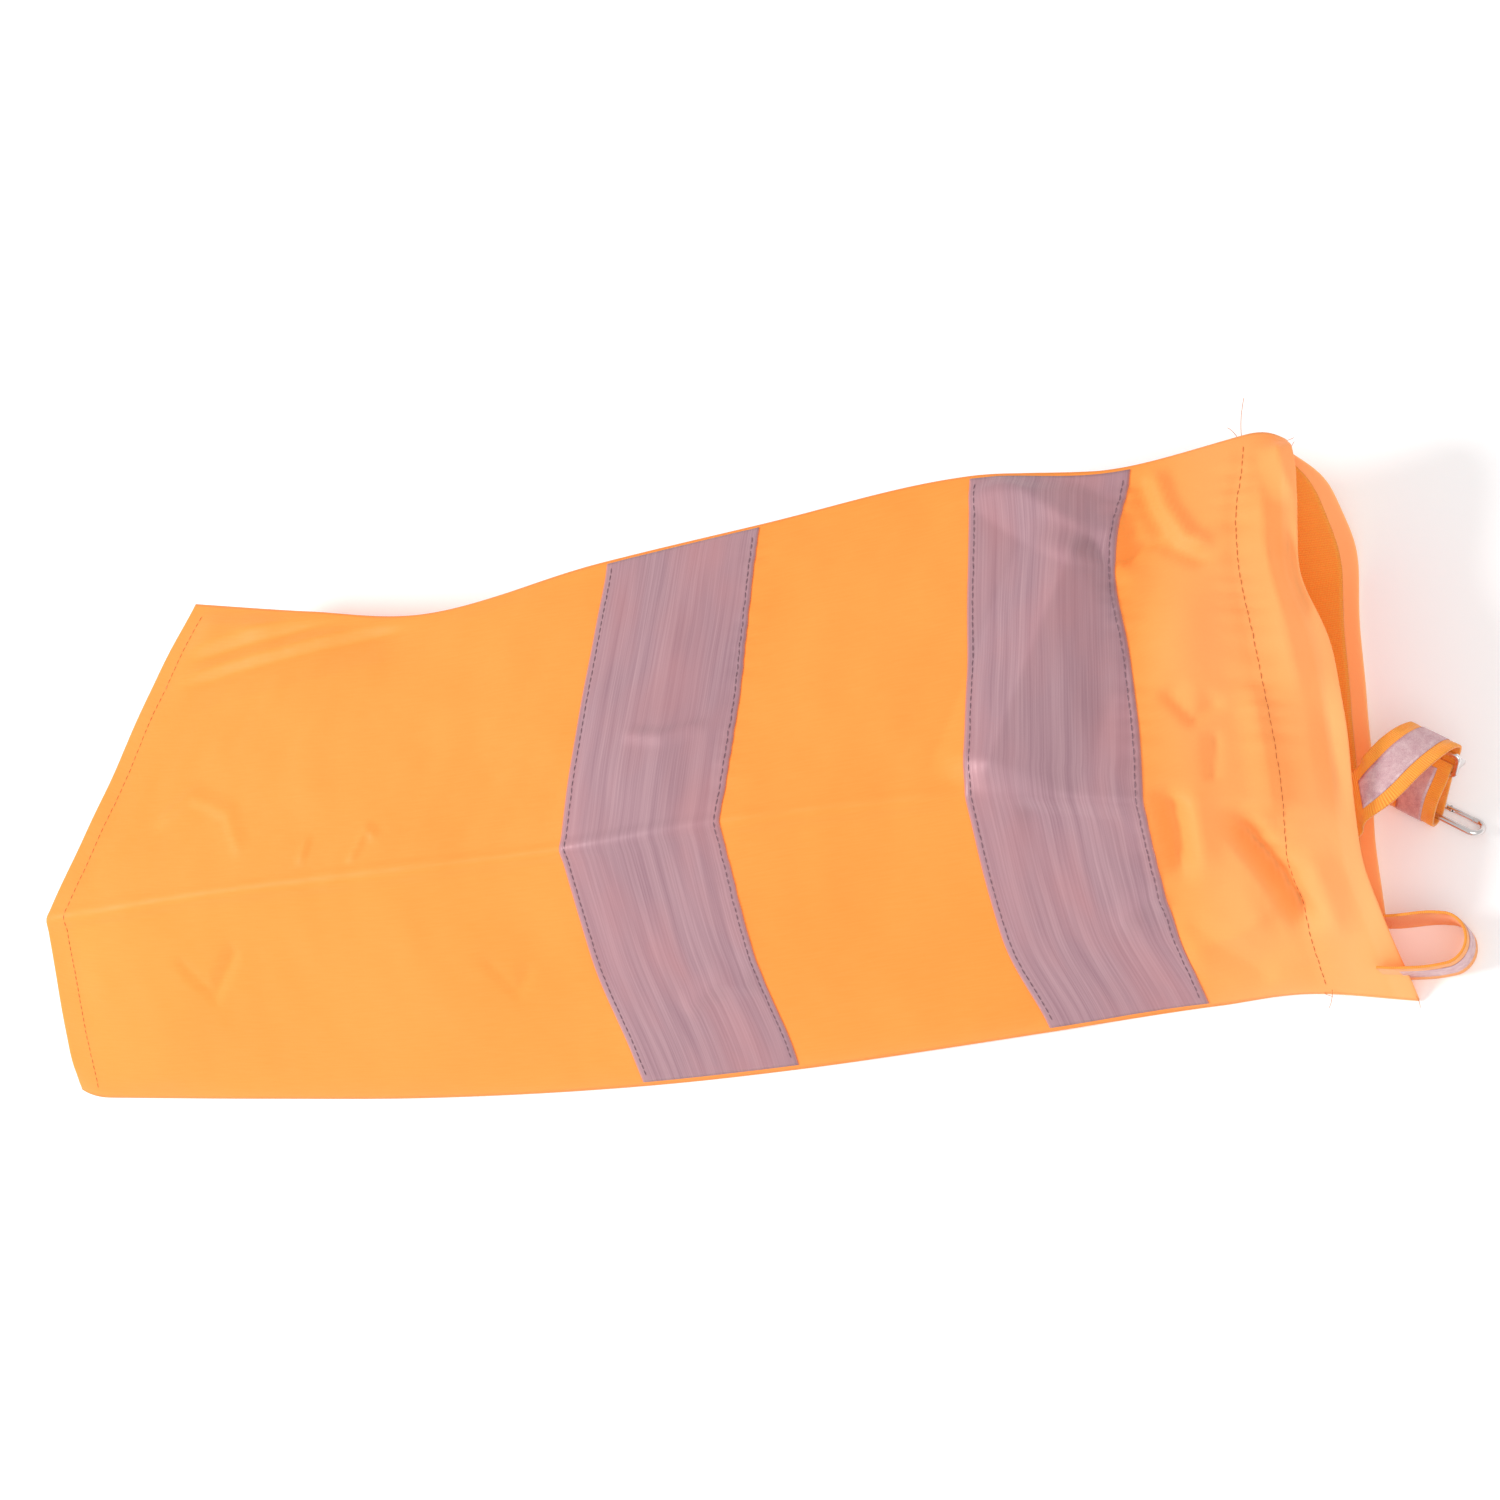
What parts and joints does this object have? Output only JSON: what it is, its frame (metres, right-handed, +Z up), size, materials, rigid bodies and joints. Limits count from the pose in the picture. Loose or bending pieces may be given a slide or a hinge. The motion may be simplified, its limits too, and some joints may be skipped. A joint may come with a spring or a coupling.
{
  "type": "fabric windsock with strap and snap hook",
  "caption": "Tapered fabric wind tube with reflective bands, hemmed open ends, an adjustable webbing strap with slide and snap hook, and a webbing loop, lying half flat.",
  "frame": {"origin": "middle of the part's box at floor level", "axes": "+X along the sock from its tail to its mouth, +Y from the bottom seam to the top seam, +Z up from the floor it lies on"},
  "size_m": [0.918, 0.336, 0.1193],
  "materials": {
    "orange_cloth": "smooth woven polyester, low sheen",
    "reflective_band": "reflective tape on cloth, satin, fine streaks round the sock",
    "grey_thread": "twisted polyester thread",
    "orange_thread": "twisted polyester thread",
    "orange_webbing": "ribbed woven polyester webbing",
    "webbing_stripe": "glass-bead reflective stripe, sparkling",
    "chrome_wire": "polished plated steel wire",
    "steel_pin": "satin steel"
  },
  "bodies": {
    "sock": {"front_panel": "orange_cloth", "back_panel": "orange_cloth", "band_1_front": "reflective_band", "band_1_back": "reflective_band", "band_2_front": "reflective_band", "band_2_back": "reflective_band", "band_1_stitching": "grey_thread", "band_2_stitching": "grey_thread", "tail_hem_front": "orange_cloth", "tail_hem_back": "orange_cloth", "tail_hem_stitching": "orange_thread", "mouth_hem_front": "orange_cloth", "mouth_hem_back": "orange_cloth", "mouth_hem_stitching": "orange_thread", "mouth_webbing_front": "orange_webbing", "mouth_webbing_back": "orange_webbing", "bottom_seam": "orange_cloth", "top_seam": "orange_cloth", "strap_root": "orange_webbing"},
    "strap": {"strap_webbing": "orange_webbing", "strap_stripe": "webbing_stripe"},
    "slide": {"slide": "chrome_wire"},
    "hook": {"hook_body": "chrome_wire"},
    "gate": {"hook_gate": "chrome_wire", "gate_pin": "steel_pin"},
    "loop": {"loop_webbing": "orange_webbing", "loop_stripe": "webbing_stripe"}
  },
  "joints": [
    {"name": "strap_swing", "type": "hinge", "parent": "sock", "child": "strap", "pos_m": [0.40131, -0.041, 0.051], "axis": [0.1268, -0.9919, 0], "range_deg": [0, 70]},
    {"name": "slide_adjust", "type": "slide", "parent": "strap", "child": "slide", "axis": [0.3641, 0.5827, 0.7266], "range_m": [-0.002, 0.003]},
    {"name": "hook_swing", "type": "hinge", "parent": "strap", "child": "hook", "pos_m": [0.422, -0.0385, 0.0094], "axis": [0.848, -0.5299, 0], "range_deg": [-150, 0]},
    {"name": "gate_open", "type": "hinge", "parent": "hook", "child": "gate", "pos_m": [0.44023, -0.04047, 0.00184], "axis": [-0.3641, -0.5827, -0.7266], "range_deg": [0, 20], "stiffness_Nm_per_rad": 0.02, "springref_deg": -11.46},
    {"name": "loop_swing", "type": "hinge", "parent": "sock", "child": "loop", "pos_m": [0.41135, -0.118, 0.0315], "axis": [0.1268, -0.9919, 0], "range_deg": [0, 75]}
  ]
}
